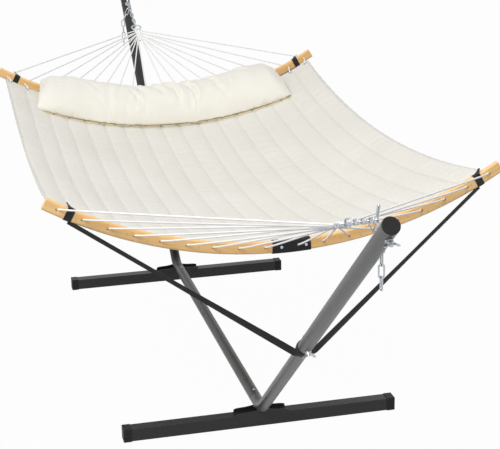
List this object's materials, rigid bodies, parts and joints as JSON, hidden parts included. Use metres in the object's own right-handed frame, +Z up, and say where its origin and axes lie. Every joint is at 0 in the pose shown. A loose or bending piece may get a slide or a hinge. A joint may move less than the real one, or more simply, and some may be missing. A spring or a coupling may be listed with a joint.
{
  "type": "hammock on stand",
  "caption": "Quilted hammock with curved wooden spreader bars, rope fans and a pillow, hung by chains on a free-standing tubular steel stand.",
  "frame": {"origin": "on the floor under the middle of the bed, midway between the two cross tubes", "axes": "+Z up, +Y from the foot end to the pillow (head) end along the centre tube, +X across the bed"},
  "size_m": [1.3504, 3.8858, 1.0563],
  "materials": {
    "dark_paint": "satin",
    "grey_paint": "satin",
    "black_plastic": "satin",
    "zinc": "satin",
    "bamboo": "satin",
    "white_rope": "matte",
    "ivory_cloth": "matte",
    "pillow_cloth": "matte",
    "black_webbing": "matte"
  },
  "bodies": {
    "stand": {"base_caps": "black_plastic", "centre_tube": "grey_paint", "foot_arm_cap": "black_plastic", "foot_base_tube": "dark_paint", "foot_button_spring": "zinc", "foot_hook_bolt": "zinc", "foot_hook_nut_and_spacers": "zinc", "foot_joint_bolt_and_washer": "zinc", "foot_lower_arm": "grey_paint", "foot_saddle_plates": "dark_paint", "foot_strap_arm_loop": "black_webbing", "foot_upper_arm": "grey_paint", "head_arm_cap": "black_plastic", "head_base_tube": "dark_paint", "head_button_spring": "zinc", "head_hook_bolt": "zinc", "head_hook_nut_and_spacers": "zinc", "head_joint_bolt_and_washer": "zinc", "head_lower_arm": "grey_paint", "head_saddle_plates": "dark_paint", "head_strap_arm_loop": "black_webbing", "head_upper_arm": "grey_paint"},
    "hammock": {"eyelets": "zinc", "foot_bar_left_half": "bamboo", "foot_bar_right_half": "bamboo", "foot_bar_sleeve": "black_plastic", "foot_chain": "zinc", "foot_clew": "white_rope", "foot_clip": "zinc", "foot_lacing": "white_rope", "foot_ring": "zinc", "foot_rope_fan": "white_rope", "foot_sleeve_screws": "zinc", "foot_strap_bar_wraps": "black_webbing", "foot_strap_runs": "black_webbing", "head_bar_left_half": "bamboo", "head_bar_right_half": "bamboo", "head_bar_sleeve": "black_plastic", "head_chain": "zinc", "head_clew": "white_rope", "head_clip": "zinc", "head_lacing": "white_rope", "head_ring": "zinc", "head_rope_fan": "white_rope", "head_sleeve_screws": "zinc", "head_strap_bar_wraps": "black_webbing", "head_strap_runs": "black_webbing", "pillow": "pillow_cloth", "quilted_bed": "ivory_cloth"},
    "foot_chain_tail": {"foot_chain_tail": "zinc"},
    "foot_clip_gate": {"foot_clip_gate": "zinc"},
    "foot_hook_wing_nut": {"foot_hook_wing_nut": "zinc"},
    "foot_joint_wing_nut": {"foot_joint_wing_nut": "zinc"},
    "foot_snap_button": {"foot_snap_button": "zinc"},
    "head_chain_tail": {"head_chain_tail": "zinc"},
    "head_clip_gate": {"head_clip_gate": "zinc"},
    "head_hook_wing_nut": {"head_hook_wing_nut": "zinc"},
    "head_joint_wing_nut": {"head_joint_wing_nut": "zinc"},
    "head_snap_button": {"head_snap_button": "zinc"}
  },
  "joints": [
    {"name": "hammock_swing", "type": "hinge", "parent": "stand", "child": "hammock", "pos_m": [0, 0, 1.01688], "axis": [0, 1, 0], "range_deg": [-5, 5], "deforming": ["head_strap_runs", "foot_strap_runs"]},
    {"name": "head_tail_hang", "type": "hinge", "parent": "hammock", "child": "head_chain_tail", "pos_m": [-0.0066, 1.76932, 0.99437], "axis": [0, 1, 0], "range_deg": [-5, 5]},
    {"name": "head_gate", "type": "hinge", "parent": "hammock", "child": "head_clip_gate", "pos_m": [0, 1.63669, 0.93811], "axis": [-1, 0, 0], "range_deg": [0, 18], "stiffness_Nm_per_rad": 0.05, "springref_deg": -17.19},
    {"name": "head_button_press", "type": "slide", "parent": "stand", "child": "head_snap_button", "axis": [0, 0, -1], "range_m": [0, 0.003], "stiffness_N_per_m": 800, "springref_m": -0.002, "deforming": ["head_button_spring"]},
    {"name": "head_joint_nut_turn", "type": "hinge", "parent": "stand", "child": "head_joint_wing_nut", "pos_m": [0, 1.28381, 0.46706], "axis": [0, 0.6307, -0.776], "continuous": true},
    {"name": "head_hook_nut_turn", "type": "hinge", "parent": "stand", "child": "head_hook_wing_nut", "pos_m": [0, 1.92714, 0.98958], "axis": [0, 0.972, -0.2351], "continuous": true},
    {"name": "foot_tail_hang", "type": "hinge", "parent": "hammock", "child": "foot_chain_tail", "pos_m": [0.0066, -1.76932, 0.99437], "axis": [0, 1, 0], "range_deg": [-5, 5]},
    {"name": "foot_gate", "type": "hinge", "parent": "hammock", "child": "foot_clip_gate", "pos_m": [0, -1.63669, 0.93811], "axis": [1, 0, 0], "range_deg": [0, 18], "stiffness_Nm_per_rad": 0.05, "springref_deg": -17.19},
    {"name": "foot_button_press", "type": "slide", "parent": "stand", "child": "foot_snap_button", "axis": [0, 0, -1], "range_m": [0, 0.003], "stiffness_N_per_m": 800, "springref_m": -0.002, "deforming": ["foot_button_spring"]},
    {"name": "foot_joint_nut_turn", "type": "hinge", "parent": "stand", "child": "foot_joint_wing_nut", "pos_m": [0, -1.28381, 0.46706], "axis": [0, -0.6307, -0.776], "continuous": true},
    {"name": "foot_hook_nut_turn", "type": "hinge", "parent": "stand", "child": "foot_hook_wing_nut", "pos_m": [0, -1.92714, 0.98958], "axis": [0, -0.972, -0.2351], "continuous": true}
  ],
  "couplings": [
    {"joint": "head_tail_hang", "follows": "hammock_swing", "ratio": -1},
    {"joint": "foot_tail_hang", "follows": "hammock_swing", "ratio": -1}
  ]
}
